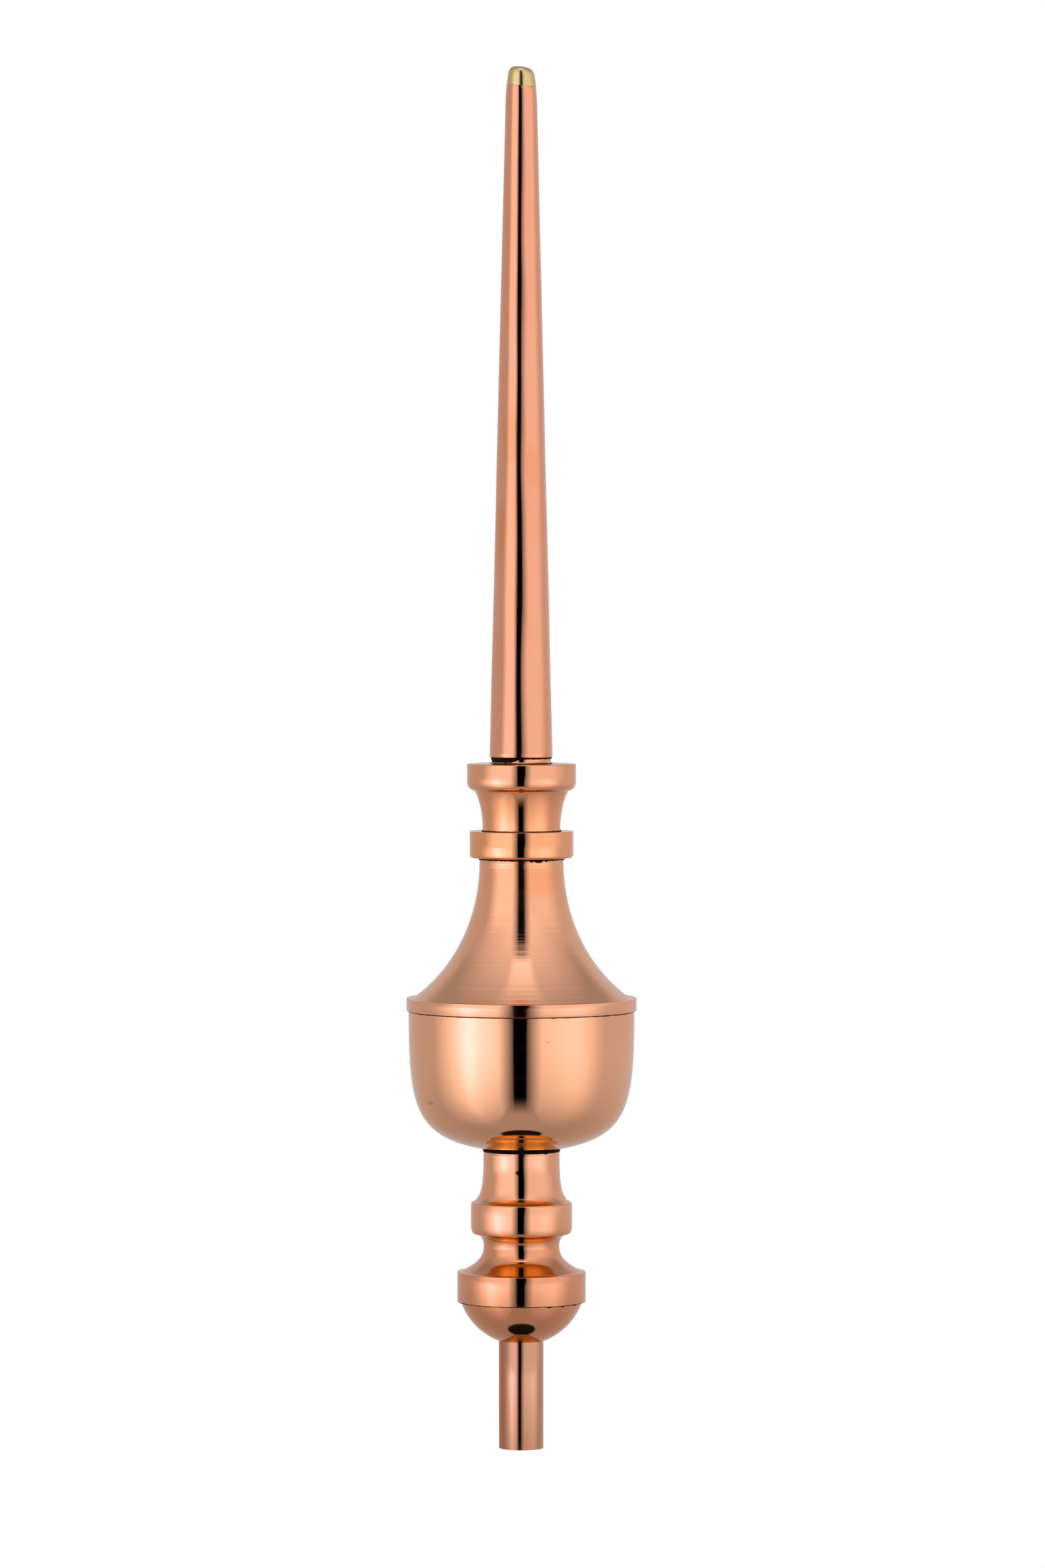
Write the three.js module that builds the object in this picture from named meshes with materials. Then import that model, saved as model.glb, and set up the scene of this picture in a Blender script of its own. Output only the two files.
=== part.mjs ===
// A roof finial spun from copper sheet: a tapered spire with a brass tip, a moulded collar, a ring,
// a bell with a turned-down brim over a round-bottomed bowl, a baluster whose skirt takes a half
// ball, and a tube that goes down over the roof's fixing.
// Millimetres, +Z up. The origin is the centre of the tube's lower end, where the roof holds it.
// Every outline is a run of (radius, height) points, from the top of its piece down.
import * as THREE from "three";

// Round the axis, the same for every piece, so that nested pieces stay parallel.
const facets = 32;

// Sheet, tube and joints
const sheet = 0.8;
const tube_wall = 1.14;
const joint_gap = 0.3;

// Stem: a drawn tube, with its upper end inside the half ball
const stem_d = 22.2;
const stem_show = 53.5;
const stem_in_ball = 10;

// Half ball: struck to the skirt's radius, with a straight rim inside the skirt and its hole
// turned up round the stem
const ball_show = 19.9;
const ball_rim = 2.5;
const ball_collar = 3.0;

// Baluster, from its skirt up: skirt with a flat lip inside its top edge, two coves that meet at
// the waist, torus, sleeve
const skirt_d = 63.8;
const skirt_h = 14.6;
const skirt_lip = 2.0;
const waist_d = 37.6;
const lower_cove_h = 13.0;
const upper_cove_h = 5.9;
const torus_d = 50.3;
const torus_h = 16.0;
const torus_lip = 1.5;
const torus_top_corner = 1.9;
const torus_foot_corner = 4.0;
const sleeve_d = 37.8;
const sleeve_h = 25.1;

// Bowl: its rim stands inside the brim and its turned-down seat stands inside the sleeve
const seat_gap = 1.0;
const bowl_h = 68.9;
const bowl_lap = 4.0;
const seat_depth = 8.5;

// Bell: a straight neck, a hollow flare, a flat lip and a turned-down brim
const brim_d = 114.3;
const brim_h = 6.2;
const brim_lip = 3.5;
const bell_h = 69.2;
const bell_neck_h = 2.0;
const neck_room = 0.75;

// Ring: a hollow band round the collar's neck, on the end of the bell's neck
const ring_d = 51.4;
const ring_h = 13.3;
const ring_corner = 1.5;

// Collar: a neck tube through the ring, a cove, a band and a tapered spigot for the spire
const collar_neck_d = 38.6;
const collar_neck_h = 2.1;
const neck_in_bell = 10;
const collar_cove_h = 18.0;
const collar_cove_d = 46.8;
const collar_d = 54.0;
const collar_h = 13.3;
const collar_foot_corner = 4.2;
const collar_top_corner = 0.6;
const spigot_fillet = 2.2;
const spigot_in_spire = 14;

// Spire: a straight taper that stands a little above the collar
const spire_stand = 3.3;
const spire_foot_d = 31.2;
const spire_top_d = 15.2;
const spire_h = 332.5;

// Tip cap: a solid turned plug with a rounded top
const cap_d = 14.7;
const cap_shoulder_d = 13.5;
const cap_side_h = 4.2;
const cap_h = 9.4;
const plug_depth = 6;

// Heights of the joints above the origin
const ball_foot = stem_show;
const skirt_foot = ball_foot + ball_show;
const waist_h = skirt_h + lower_cove_h;
const torus_foot = waist_h + upper_cove_h;
const sleeve_foot = torus_foot + torus_h;
const bowl_foot = skirt_foot + sleeve_foot + sleeve_h + seat_gap;
const brim_foot = bowl_foot + bowl_h;
const ring_foot = brim_foot + brim_h + bell_h + joint_gap;
const collar_foot = ring_foot + ring_h;
const band_foot = collar_neck_h + collar_cove_h;
const band_top = band_foot + collar_h;
const spire_foot = collar_foot + band_top + spire_stand;
const cap_foot = spire_foot + spire_h + joint_gap;

// A point of an outline.
function at(radius, height) {
  return new THREE.Vector2(radius, height);
}

// A smooth stretch from one point to another. Each pull is the handle at that end, given as shares
// of the stretch's own width and height, so that it keeps its character at any size.
function sweep(from, from_pull, to_pull, to, steps) {
  const width = to.x - from.x;
  const height = to.y - from.y;
  const first = at(from.x + from_pull[0] * width, from.y + from_pull[1] * height);
  const second = at(to.x - to_pull[0] * width, to.y - to_pull[1] * height);
  return new THREE.CubicBezierCurve(from, first, second, to).getPoints(steps);
}

// A quarter of an ellipse: it leaves the first point upright and reaches the second level.
const upright_to_level = [[0, 0.552], [0.552, 0]];
// The same the other way: it leaves level and arrives upright.
const level_to_upright = [[0.552, 0], [0, 0.552]];

function quarter(from, to, ends, steps) {
  return sweep(from, ends[0], ends[1], to, steps);
}

// Joins single points and stretches end to end, each meeting point kept once.
function outline(...stretches) {
  const points = stretches.flat();
  return points.filter((point, i) => i === 0 || point.distanceTo(points[i - 1]) > 0.001);
}

// The face of a sheet that lies `wall` inside its outer face, point for point.
function inner_face(outer, wall) {
  return outer.map((point, i) => {
    const before = outer[i - 1] ? point.clone().sub(outer[i - 1]).normalize() : null;
    const after = outer[i + 1] ? outer[i + 1].clone().sub(point).normalize() : null;
    const way = (before ?? after).clone().add(after ?? before).normalize();
    const inward = at(way.y, -way.x);
    const lean = way.dot(after ?? before);
    return point.clone().addScaledVector(inward, wall / lean);
  });
}

// The closed outline of a sheet or tube wall, down its outer face and back up its inner one.
function wall_of(outer, wall) {
  return [...outer, ...inner_face(outer, wall).reverse(), outer[0]];
}

// Turns a closed outline round the axis and stands it at its height.
function spun(name, closed, metal, foot) {
  const geometry = new THREE.LatheGeometry([...closed].reverse(), facets);
  geometry.rotateX(Math.PI / 2);
  const mesh = new THREE.Mesh(geometry, metal);
  mesh.name = name;
  mesh.position.z = foot;
  return mesh;
}

function polished_copper() {
  return new THREE.MeshStandardMaterial({ color: 0xd99a74, roughness: 0.16, metalness: 1 });
}

function satin_copper() {
  return new THREE.MeshStandardMaterial({ color: 0xc98661, roughness: 0.28, metalness: 1 });
}

function polished_brass() {
  return new THREE.MeshStandardMaterial({ color: 0xc9a860, roughness: 0.22, metalness: 1 });
}

function stem() {
  const outer = outline(at(stem_d / 2, stem_show + stem_in_ball), at(stem_d / 2, 0));
  return spun("stem", wall_of(outer, tube_wall), polished_copper(), 0);
}

function half_ball() {
  const radius = skirt_d / 2;
  const rim_r = skirt_d / 2 - sheet - joint_gap;
  const hole_r = stem_d / 2 + joint_gap;
  const centre = Math.sqrt(radius ** 2 - hole_r ** 2);
  const rim_angle = -Math.acos(rim_r / radius);
  const hole_angle = -Math.acos(hole_r / radius);
  const curve = new THREE.EllipseCurve(0, centre, radius, radius, rim_angle, hole_angle, true);
  const dish = curve.getPoints(5);
  const outer = outline(at(rim_r, dish[0].y + ball_rim), dish, at(hole_r, ball_collar));
  return spun("half_ball", wall_of(outer, sheet), satin_copper(), ball_foot);
}

function baluster() {
  const skirt_r = skirt_d / 2;
  const torus_r = torus_d / 2;
  const waist = at(waist_d / 2, waist_h);
  const torus_under = at(torus_r - torus_lip, torus_foot);
  const torus_crease = at(torus_r - torus_lip, sleeve_foot);
  const flare = sweep(at(sleeve_d / 2, sleeve_foot + sleeve_h), [0, 0.52], [0.97, 0.124], torus_crease, 5);
  const torus_top = quarter(
    torus_crease,
    at(torus_r, sleeve_foot - torus_top_corner),
    level_to_upright,
    2,
  );
  const torus_bottom = quarter(
    at(torus_r, torus_foot + torus_foot_corner),
    torus_under,
    upright_to_level,
    3,
  );
  const upper_cove = quarter(torus_under, waist, level_to_upright, 3);
  const lower_cove = sweep(waist, [0, 0.4], [0.82, 0.36], at(skirt_r - skirt_lip, skirt_h), 4);
  const skirt = [at(skirt_r, skirt_h), at(skirt_r, 0)];
  const outer = outline(flare, torus_top, torus_bottom, upper_cove, lower_cove, skirt);
  return spun("baluster", wall_of(outer, sheet), polished_copper(), skirt_foot);
}

function bowl() {
  const rim_r = brim_d / 2 - sheet - joint_gap;
  const seat_r = sleeve_d / 2 - sheet - joint_gap;
  const side = sweep(at(rim_r, bowl_h), [0, 0.7], [0.93, 0.09], at(seat_r + sheet, 0), 8);
  const outer = outline(
    at(rim_r, bowl_h + bowl_lap),
    side,
    at(seat_r, -sheet),
    at(seat_r, -seat_gap - seat_depth),
  );
  return spun("bowl", wall_of(outer, sheet), polished_copper(), bowl_foot);
}

function bell() {
  const brim_r = brim_d / 2;
  const neck_r = collar_neck_d / 2 + neck_room + sheet;
  const neck_foot = at(neck_r, brim_h + bell_h - bell_neck_h);
  const flare = sweep(neck_foot, [0, 0.28], [0.8, 0.284], at(brim_r - brim_lip, brim_h), 7);
  const brim = [at(brim_r, brim_h), at(brim_r, 0)];
  const outer = outline(at(neck_r, brim_h + bell_h), flare, brim);
  return spun("bell", wall_of(outer, sheet), satin_copper(), brim_foot);
}

function ring() {
  const bore_r = collar_neck_d / 2 + joint_gap;
  const ring_r = ring_d / 2;
  const outer = outline(
    at(bore_r, ring_h),
    at(ring_r, ring_h),
    at(ring_r, ring_corner),
    at(ring_r - ring_corner, 0),
    at(bore_r, 0),
  );
  return spun("ring", wall_of(outer, sheet), polished_copper(), ring_foot);
}

function collar() {
  const neck_r = collar_neck_d / 2;
  const collar_r = collar_d / 2;
  const taper = (spire_foot_d - spire_top_d) / 2 / spire_h;
  const spigot_r = spire_foot_d / 2 - sheet - joint_gap;
  const cove_top = at(collar_cove_d / 2, band_foot);
  const corner = quarter(
    at(collar_r, band_foot + collar_foot_corner),
    cove_top,
    upright_to_level,
    2,
  );
  const cove = sweep(cove_top, [0.563, 0.195], [0, 0.332], at(neck_r, collar_neck_h), 4);
  const outer = outline(
    at(spigot_r - taper * spigot_in_spire, band_top + spire_stand + spigot_in_spire),
    at(spigot_r, band_top + spigot_fillet),
    at(spigot_r + spigot_fillet, band_top),
    at(collar_r - collar_top_corner, band_top),
    at(collar_r, band_top - collar_top_corner),
    corner,
    cove,
    at(neck_r, -ring_h - neck_in_bell),
  );
  return spun("collar", wall_of(outer, sheet), polished_copper(), collar_foot);
}

function spire() {
  const outer = outline(at(spire_top_d / 2, spire_h), at(spire_foot_d / 2, 0));
  return spun("spire", wall_of(outer, sheet), polished_copper(), spire_foot);
}

function tip_cap() {
  const plug_r = spire_top_d / 2 - sheet - joint_gap;
  const shoulder = at(cap_shoulder_d / 2, cap_side_h);
  const closed = outline(
    sweep(at(0, cap_h), [0.8, 0], [0.06, 0.7], shoulder, 4),
    at(cap_d / 2, 0),
    at(plug_r, 0),
    at(plug_r, -plug_depth),
    at(0, -plug_depth),
  );
  return spun("tip_cap", closed, polished_brass(), cap_foot);
}

const finial = new THREE.Group();
finial.name = "roof_finial";
finial.add(stem(), half_ball(), baluster(), bowl(), bell(), ring(), collar(), spire(), tip_cap());

export default finial;
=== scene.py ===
import math

import bmesh
import bpy
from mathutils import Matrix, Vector, noise


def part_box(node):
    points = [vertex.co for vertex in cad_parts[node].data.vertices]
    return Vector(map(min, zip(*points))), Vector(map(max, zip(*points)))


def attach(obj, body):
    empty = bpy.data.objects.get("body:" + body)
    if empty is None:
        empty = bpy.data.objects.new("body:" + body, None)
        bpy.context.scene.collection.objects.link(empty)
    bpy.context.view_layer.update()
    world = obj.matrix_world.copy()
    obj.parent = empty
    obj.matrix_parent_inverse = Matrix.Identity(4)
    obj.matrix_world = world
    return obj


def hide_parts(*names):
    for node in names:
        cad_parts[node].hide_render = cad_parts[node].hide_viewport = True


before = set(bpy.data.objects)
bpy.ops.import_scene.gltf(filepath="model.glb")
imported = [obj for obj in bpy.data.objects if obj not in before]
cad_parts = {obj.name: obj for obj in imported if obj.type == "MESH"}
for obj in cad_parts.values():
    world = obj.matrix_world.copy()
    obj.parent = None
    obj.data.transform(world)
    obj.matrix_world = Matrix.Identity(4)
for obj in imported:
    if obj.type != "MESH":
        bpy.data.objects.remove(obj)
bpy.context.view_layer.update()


# Stem: a plain drawn copper tube, cut square below. The roof's fixing goes up its bore, and its
# upper end is soldered into the half ball. Every piece here is made as it is: a wire is extruded
# along the outline, its corners are rounded, and it is spun round the axis. Sizes are in metres.
ROUND_STEPS = 192
CORNER_EDGE = 0.00012
CORNER_ANGLE = 0.9
SMOOTH_DEGREES = 32
TUBE_WALL = 0.00114
LOBES = 5
LOBE_WAVES = 22.0
LOBE_TURNS = 30.0
STEM_TILT = 0.073
STEM_COLOUR = (0.66, 0.32, 0.205)
STEM_SHADE = (0.6, 0.26, 0.15)
# The next two give a painted shade, darker and redder, down the stem's left edge low down.
STEM_LEFT_SHADE = (0.6, 0.2, 0.095)
STEM_LEFT_SHADE_SIZE = (0.0042, 0.02, 0.12)
NOWHERE = (9.0, 10.0)
DEEPER = (0.8, 0.78, 0.25)


def draw_outline(name, points):
    """Starts a wire at the first (radius, height) point and extrudes it to each next one."""
    bpy.ops.object.select_all(action="DESELECT")
    bpy.ops.mesh.primitive_plane_add(size=0.01)
    piece = bpy.context.object
    piece.name = name
    piece.data.name = name
    bpy.ops.object.mode_set(mode="EDIT")
    bpy.ops.mesh.select_mode(type="VERT")
    bpy.ops.mesh.select_all(action="SELECT")
    bpy.ops.mesh.merge(type="CENTER")
    bpy.ops.transform.translate(value=(points[0][0], 0, points[0][1]))
    for (radius, height), (next_radius, next_height) in zip(points, points[1:]):
        step = (next_radius - radius, 0, next_height - height)
        bpy.ops.mesh.extrude_region_move(TRANSFORM_OT_translate={"value": step})
    return piece


def round_corner(piece, corner, size, steps=4):
    """Bevels the wire's vertex at a (radius, height) corner."""
    wire = bmesh.from_edit_mesh(piece.data)
    for vertex in wire.verts:
        vertex.select = math.dist((vertex.co.x, vertex.co.z), corner) < 1e-5
    bmesh.update_edit_mesh(piece.data)
    bpy.ops.mesh.bevel(offset=size, segments=steps, affect="VERTICES")


def spin_outline(piece):
    """Spins the wire a full turn round Z, closes its seam and turns its faces outwards."""
    bpy.ops.mesh.select_all(action="SELECT")
    bpy.ops.mesh.spin(steps=ROUND_STEPS, angle=2 * math.pi, center=(0, 0, 0), axis=(0, 0, 1))
    bpy.ops.mesh.select_all(action="SELECT")
    bpy.ops.mesh.remove_doubles(threshold=1e-6)
    bpy.ops.mesh.normals_make_consistent(inside=False)
    bpy.ops.object.mode_set(mode="OBJECT")
    widest = max(piece.data.polygons, key=lambda face: face.center.xy.length)
    if widest.normal.xy.dot(widest.center.xy) < 0:
        piece.data.flip_normals()


def apply_modifier(piece, kind, **settings):
    """Adds one modifier with its settings and applies it."""
    modifier = piece.modifiers.new(kind.title(), kind)
    for setting, value in settings.items():
        setattr(modifier, setting, value)
    bpy.context.view_layer.objects.active = piece
    bpy.ops.object.modifier_apply(modifier=modifier.name)


def give_wall(piece, wall):
    """Gives a spun face its wall, inwards, and breaks the sharp edges of its rims."""
    apply_modifier(piece, "SOLIDIFY", thickness=wall, offset=-1, use_even_offset=True)
    apply_modifier(
        piece,
        "BEVEL",
        width=CORNER_EDGE,
        segments=2,
        limit_method="ANGLE",
        angle_limit=CORNER_ANGLE,
    )


def smooth(piece):
    """Shades a finished piece smooth, apart from its real edges."""
    bpy.ops.object.select_all(action="DESELECT")
    piece.select_set(True)
    bpy.context.view_layer.objects.active = piece
    bpy.ops.object.shade_smooth_by_angle(angle=math.radians(SMOOTH_DEGREES))
    piece.select_set(False)


def drawn_form(piece, tilt, lead=0.0, loose=0.0):
    """Takes a tube a little out of round in shallow lobes, as drawing leaves it. Their sides lean
    by the tilt and the lead turns them round the tube, both in radians. The looser the tube is,
    the more they vary along it."""
    for vertex in piece.data.vertices:
        spot = vertex.co
        radius = spot.xy.length
        angle = math.atan2(spot.y, spot.x) + math.pi / 2
        swell = noise.noise(Vector((0, 0.5, spot.z * LOBE_WAVES)))
        turn = noise.noise(Vector((0.5, 0, spot.z * LOBE_TURNS)))
        depth = tilt * radius / LOBES * (1 + loose * swell)
        rise = -depth * math.sin(LOBES * angle + lead + loose * turn)
        spot.xy *= 1 + rise / radius


def place(piece, node):
    """The piece stands for its solid and rides with it."""
    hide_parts(node)
    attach(piece, "root")


def node(tree, kind, feeds=None, values=None, **settings):
    """One shader node, its sockets fed by other sockets or set to values."""
    made = tree.nodes.new(kind)
    for setting, value in settings.items():
        setattr(made, setting, value)
    for socket, value in (values or {}).items():
        made.inputs[socket].default_value = value
    for socket, source in (feeds or {}).items():
        tree.links.new(source, made.inputs[socket])
    return made


def maths(tree, operation, *terms):
    """A Math node, each of whose terms is a number or another node's socket."""
    made = tree.nodes.new("ShaderNodeMath")
    made.operation = operation
    for socket, term in zip(made.inputs, terms):
        if isinstance(term, (int, float)):
            socket.default_value = term
        else:
            tree.links.new(term, socket)
    return made.outputs[0]


def fade(tree, value, start, end, low=0.0, high=1.0):
    """Goes smoothly from low to high as the value goes from start to end."""
    return node(
        tree,
        "ShaderNodeMapRange",
        feeds={"Value": value},
        values={"From Min": start, "From Max": end, "To Min": low, "To Max": high},
        interpolation_type="SMOOTHSTEP",
    ).outputs[0]


def new_group(name, inputs, outputs):
    """An empty shader node group with named sockets, and its input and output nodes."""
    group = bpy.data.node_groups.new(name, "ShaderNodeTree")
    for socket, kind, value in inputs:
        made = group.interface.new_socket(socket, in_out="INPUT", socket_type="NodeSocket" + kind)
        made.default_value = value
    for socket, kind in outputs:
        group.interface.new_socket(socket, in_out="OUTPUT", socket_type="NodeSocket" + kind)
    return group, group.nodes.new("NodeGroupInput"), group.nodes.new("NodeGroupOutput")


def lathe_marks_group():
    """Fine lines round the axis, as a polishing wheel or a spinning tool leaves them."""
    group, given, out = new_group(
        "lathe marks",
        [("Lines per metre", "Float", 1500.0), ("Wander", "Float", 25.0)],
        [("Height", "Float")],
    )
    spot = node(group, "ShaderNodeTexCoord").outputs["Object"]
    x, y, z = node(group, "ShaderNodeSeparateXYZ", {"Vector": spot}).outputs
    flat = node(group, "ShaderNodeCombineXYZ", {"X": x, "Y": y}).outputs[0]
    radius = node(group, "ShaderNodeVectorMath", {0: flat}, operation="LENGTH").outputs["Value"]
    across = maths(group, "MULTIPLY", radius, given.outputs["Lines per metre"])
    along = maths(group, "MULTIPLY", z, given.outputs["Lines per metre"])
    drift_x = maths(group, "MULTIPLY", x, given.outputs["Wander"])
    drift_y = maths(group, "MULTIPLY", y, given.outputs["Wander"])
    path = node(
        group,
        "ShaderNodeCombineXYZ",
        {"X": maths(group, "ADD", across, drift_x), "Y": drift_y, "Z": along},
    ).outputs[0]
    lines = node(group, "ShaderNodeTexNoise", {"Vector": path}, {"Scale": 1.0, "Detail": 2.0})
    group.links.new(lines.outputs["Fac"], out.inputs["Height"])
    return group


def drawn_marks_group():
    """Fine lines along the axis, as drawing and polishing lengthwise leave them."""
    group, given, out = new_group(
        "drawn marks",
        [("Lines per metre", "Float", 1500.0), ("Wander", "Float", 25.0)],
        [("Height", "Float")],
    )
    spot = node(group, "ShaderNodeTexCoord").outputs["Object"]
    x, y, z = node(group, "ShaderNodeSeparateXYZ", {"Vector": spot}).outputs
    path = node(
        group,
        "ShaderNodeCombineXYZ",
        {
            "X": maths(group, "MULTIPLY", x, given.outputs["Lines per metre"]),
            "Y": maths(group, "MULTIPLY", y, given.outputs["Lines per metre"]),
            "Z": maths(group, "MULTIPLY", z, given.outputs["Wander"]),
        },
    ).outputs[0]
    lines = node(group, "ShaderNodeTexNoise", {"Vector": path}, {"Scale": 1.0, "Detail": 2.0})
    group.links.new(lines.outputs["Fac"], out.inputs["Height"])
    return group


def handled_metal_group():
    """Bare polished metal that has been handled: warmer in cloudy patches and duller in smears. It
    also turns to the warm colour toward one end, which on the baluster is painted shade."""
    group, given, out = new_group(
        "handled metal",
        [
            ("Clean", "Color", (1, 1, 1, 1)),
            ("Warm", "Color", (1, 1, 1, 1)),
            ("Patches", "Float", 0.5),
            ("Clean at", "Float", 0.0),
            ("Warm at", "Float", 0.0),
            ("Polish", "Float", 0.1),
            ("Smears", "Float", 0.05),
        ],
        [("Color", "Color"), ("Roughness", "Float")],
    )
    spot = node(group, "ShaderNodeTexCoord").outputs["Object"]
    clouds = node(group, "ShaderNodeTexNoise", {"Vector": spot}, {"Scale": 26.0, "Detail": 3.0})
    cover = maths(
        group, "MULTIPLY", fade(group, clouds.outputs["Fac"], 0.4, 0.75), given.outputs["Patches"]
    )
    height = node(group, "ShaderNodeSeparateXYZ", {"Vector": spot}).outputs["Z"]
    end = node(
        group,
        "ShaderNodeMapRange",
        {
            "Value": height,
            "From Min": given.outputs["Clean at"],
            "From Max": given.outputs["Warm at"],
        },
        interpolation_type="SMOOTHSTEP",
    ).outputs[0]
    cover = maths(group, "MAXIMUM", cover, end)
    # The Mix node has sockets of the same names for each of its types, so they are given by place.
    colour = node(
        group,
        "ShaderNodeMix",
        {0: cover, 6: given.outputs["Clean"], 7: given.outputs["Warm"]},
        data_type="RGBA",
    )
    smears = node(group, "ShaderNodeTexNoise", {"Vector": spot}, {"Scale": 70.0, "Detail": 4.0})
    extra = maths(
        group, "MULTIPLY", fade(group, smears.outputs["Fac"], 0.45, 0.8), given.outputs["Smears"]
    )
    group.links.new(colour.outputs[2], out.inputs["Color"])
    group.links.new(maths(group, "ADD", given.outputs["Polish"], extra), out.inputs["Roughness"])
    return group


def stain_and_shade_group():
    """A soft-edged spot of another colour round one point."""
    group, given, out = new_group(
        "stain_and_shade",
        [
            ("Under", "Color", (1, 1, 1, 1)),
            ("Stain and shade", "Color", (1, 1, 1, 1)),
            ("Centre", "Vector", (0, 0, 0)),
            ("Half size", "Vector", (1, 1, 1)),
            ("Strength", "Float", 1.0),
        ],
        [("Color", "Color")],
    )
    spot = node(group, "ShaderNodeTexCoord").outputs["Object"]
    for operation, term in (("SUBTRACT", "Centre"), ("DIVIDE", "Half size")):
        spot = node(
            group, "ShaderNodeVectorMath", {0: spot, 1: given.outputs[term]}, operation=operation
        ).outputs[0]
    reach = node(group, "ShaderNodeVectorMath", {0: spot}, operation="LENGTH").outputs["Value"]
    share = maths(group, "MULTIPLY", fade(group, reach, 1.0, 0.4), given.outputs["Strength"])
    colour = node(
        group,
        "ShaderNodeMix",
        {0: share, 6: given.outputs["Under"], 7: given.outputs["Stain and shade"]},
        data_type="RGBA",
    )
    group.links.new(colour.outputs[2], out.inputs["Color"])
    return group


LATHE_MARKS = lathe_marks_group()
DRAWN_MARKS = drawn_marks_group()
HANDLED_METAL = handled_metal_group()
STAIN_AND_SHADE = stain_and_shade_group()


def metal(
    name,
    clean,
    warm,
    polish=0.05,
    smears=0.04,
    patches=0.5,
    warm_end=NOWHERE,
    kind=LATHE_MARKS,
    lines=1500.0,
    depth=0.0015,
    wander=25.0,
):
    """A bare metal finish with its own tool marks and handling. The depth is in millimetres, and
    the warm end is the two heights between which clean metal turns warm."""
    material = bpy.data.materials.new(name)
    material.use_nodes = True
    tree = material.node_tree
    shader = tree.nodes["Principled BSDF"]
    shader.inputs["Metallic"].default_value = 1.0
    handled = node(tree, "ShaderNodeGroup", node_tree=HANDLED_METAL)
    handled.inputs["Clean"].default_value = (*clean, 1)
    handled.inputs["Warm"].default_value = (*warm, 1)
    handled.inputs["Patches"].default_value = patches
    handled.inputs["Clean at"].default_value = warm_end[0]
    handled.inputs["Warm at"].default_value = warm_end[1]
    handled.inputs["Polish"].default_value = polish
    handled.inputs["Smears"].default_value = smears
    marks = node(tree, "ShaderNodeGroup", node_tree=kind)
    marks.inputs["Lines per metre"].default_value = lines
    marks.inputs["Wander"].default_value = wander
    bump = node(
        tree,
        "ShaderNodeBump",
        {"Height": marks.outputs["Height"]},
        {"Strength": 1.0, "Distance": depth * 0.001},
    )
    # Metal seen in metal is a deep orange in the photo, deeper than one colour twice over.
    mirrored = node(tree, "ShaderNodeLightPath").outputs["Is Glossy Ray"]
    deepened = node(
        tree,
        "ShaderNodeMix",
        {0: mirrored, 6: handled.outputs["Color"]},
        {7: (*(c * d for c, d in zip(clean, DEEPER)), 1)},
        data_type="RGBA",
    )
    tree.links.new(deepened.outputs[2], shader.inputs["Base Color"])
    tree.links.new(handled.outputs["Roughness"], shader.inputs["Roughness"])
    tree.links.new(bump.outputs["Normal"], shader.inputs["Normal"])
    return material


def stain_and_shade(material, colour, centre, half_size, strength=1.0):
    """Puts a soft-edged spot of another colour on a metal finish."""
    tree = material.node_tree
    base = tree.nodes["Principled BSDF"].inputs["Base Color"]
    spot = node(tree, "ShaderNodeGroup", node_tree=STAIN_AND_SHADE)
    spot.inputs["Stain and shade"].default_value = (*colour, 1)
    spot.inputs["Centre"].default_value = centre
    spot.inputs["Half size"].default_value = half_size
    spot.inputs["Strength"].default_value = strength
    tree.links.new(base.links[0].from_socket, spot.inputs["Under"])
    tree.links.new(spot.outputs["Color"], base)


stem_low, stem_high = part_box("stem")
stem_r = stem_high.x
stem = draw_outline("stem_tube", [(stem_r, stem_high.z), (stem_r, stem_low.z)])
spin_outline(stem)
give_wall(stem, TUBE_WALL)
drawn_form(stem, STEM_TILT)
smooth(stem)
drawn_copper = metal(
    "drawn copper", STEM_COLOUR, STEM_SHADE, polish=0.09, patches=0.35, kind=DRAWN_MARKS
)
# This darker, redder spot down the stem's left edge low down is painted shade.
stain_and_shade(drawn_copper, STEM_LEFT_SHADE, (-stem_r, -0.004, 0.03), STEM_LEFT_SHADE_SIZE)
stem.data.materials.append(drawn_copper)
place(stem, "stem")


# Half ball: a cup spun from copper sheet that closes the baluster's skirt. Its rim is a straight
# band inside the skirt, and its hole is turned up round the stem. It is left duller than the rest.
SHEET = 0.0008
JOINT_GAP = 0.0003
BALL_COLLAR = 0.003
BALL_STEPS = 48
BALL_COLOUR = (0.88, 0.36, 0.185)
BALL_WARM = (0.78, 0.29, 0.13)

ball_low, ball_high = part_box("half_ball")
skirt_low, skirt_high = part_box("baluster")
skirt_r = skirt_high.x
ball_rim_r = skirt_r - SHEET - JOINT_GAP
hole_r = stem_r + JOINT_GAP
ball_foot = ball_low.z
ball_centre = ball_foot + math.sqrt(skirt_r**2 - hole_r**2)
rim_angle = math.acos(ball_rim_r / skirt_r)
hole_angle = math.acos(hole_r / skirt_r)
ball_outline = [(ball_rim_r, ball_high.z)]
for i in range(BALL_STEPS + 1):
    angle = rim_angle + (hole_angle - rim_angle) * i / BALL_STEPS
    ball_outline.append((skirt_r * math.cos(angle), ball_centre - skirt_r * math.sin(angle)))
ball_outline.append((hole_r, ball_foot + BALL_COLLAR))
half_ball = draw_outline("half_ball_cup", ball_outline)
spin_outline(half_ball)
give_wall(half_ball, SHEET)
smooth(half_ball)
half_ball.data.materials.append(
    metal("satin copper", BALL_COLOUR, BALL_WARM, polish=0.07, smears=0.05, depth=0.001)
)
place(half_ball, "half_ball")


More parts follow.
